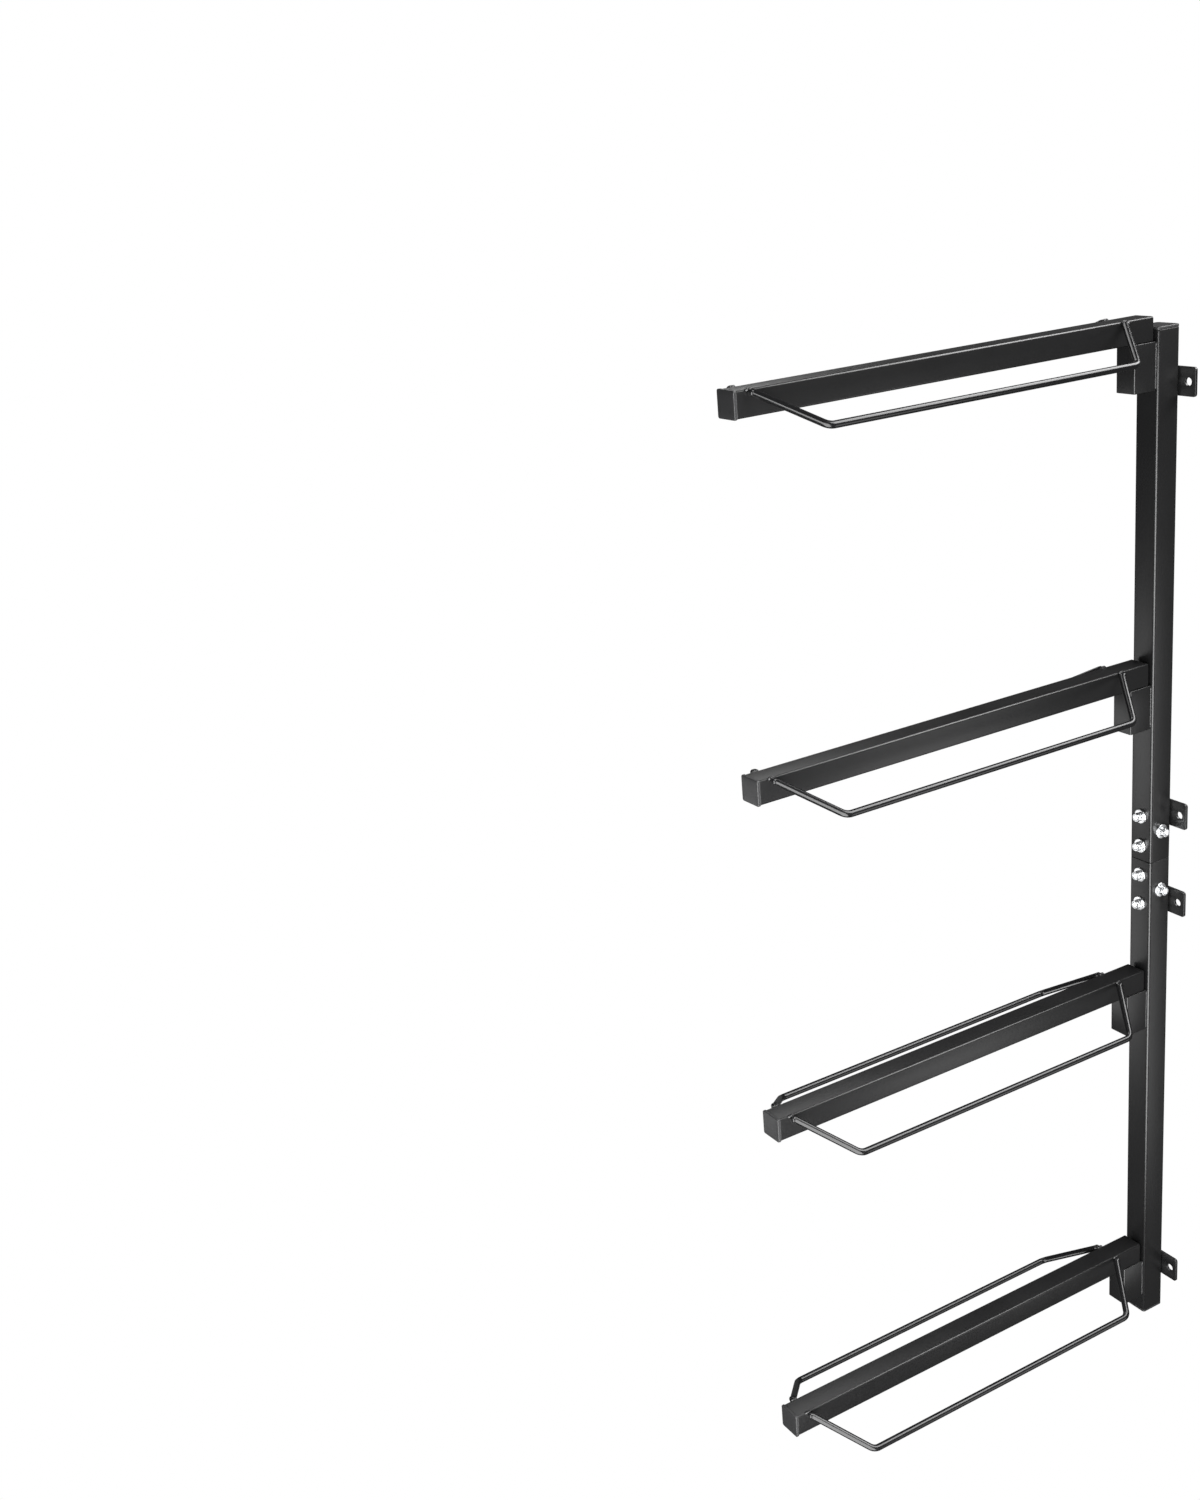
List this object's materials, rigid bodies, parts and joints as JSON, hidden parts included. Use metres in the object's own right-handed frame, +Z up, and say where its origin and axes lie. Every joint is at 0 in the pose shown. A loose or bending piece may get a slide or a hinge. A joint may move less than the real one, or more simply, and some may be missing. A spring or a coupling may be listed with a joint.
{
  "type": "saddle rack",
  "caption": "Wall-mounted saddle rack: bolted square-tube post with stacked square arms, slanted rod wings beside each arm, box stubs and wall plates with screw ears",
  "frame": {"origin": "centre of the back face of the topmost wall plate, on the wall plane", "axes": "+Z up along the post, -Y out of the wall along the arms, +X to the right for a person facing the wall"},
  "size_m": [0.1428, 0.5473, 1.1834],
  "materials": {
    "powder_coat": "semi-gloss black powder coat",
    "rod_coat": "glossy black coat on round bar",
    "cap_plastic": "moulded black plastic, light texture",
    "zinc": "bright zinc-plated steel"
  },
  "bodies": {
    "root": {"arm_cap_1": "cap_plastic", "arm_cap_2": "cap_plastic", "arm_cap_3": "cap_plastic", "arm_cap_4": "cap_plastic", "arm_stub_1": "powder_coat", "arm_stub_2": "powder_coat", "arm_stub_3": "powder_coat", "arm_stub_4": "powder_coat", "arm_tube_1": "powder_coat", "arm_tube_2": "powder_coat", "arm_tube_3": "powder_coat", "arm_tube_4": "powder_coat", "joint_bolt_front_1": "zinc", "joint_bolt_front_2": "zinc", "joint_bolt_front_3": "zinc", "joint_bolt_front_4": "zinc", "joint_bolt_side_1": "zinc", "joint_bolt_side_2": "zinc", "joint_nut_front_1": "zinc", "joint_nut_front_2": "zinc", "joint_nut_front_3": "zinc", "joint_nut_front_4": "zinc", "joint_nut_side_1": "zinc", "joint_nut_side_2": "zinc", "joint_sleeve": "powder_coat", "joint_washer_front_1": "zinc", "joint_washer_front_2": "zinc", "joint_washer_front_3": "zinc", "joint_washer_front_4": "zinc", "joint_washer_side_1": "zinc", "joint_washer_side_2": "zinc", "post_cap_bottom": "cap_plastic", "post_cap_top": "cap_plastic", "post_lower": "powder_coat", "post_upper": "powder_coat", "wall_plate_1": "powder_coat", "wall_plate_2": "powder_coat", "wall_plate_3": "powder_coat", "wall_plate_4": "powder_coat", "wing_rod_left_1": "rod_coat", "wing_rod_left_2": "rod_coat", "wing_rod_left_3": "rod_coat", "wing_rod_left_4": "rod_coat", "wing_rod_right_1": "rod_coat", "wing_rod_right_2": "rod_coat", "wing_rod_right_3": "rod_coat", "wing_rod_right_4": "rod_coat"}
  },
  "joints": []
}
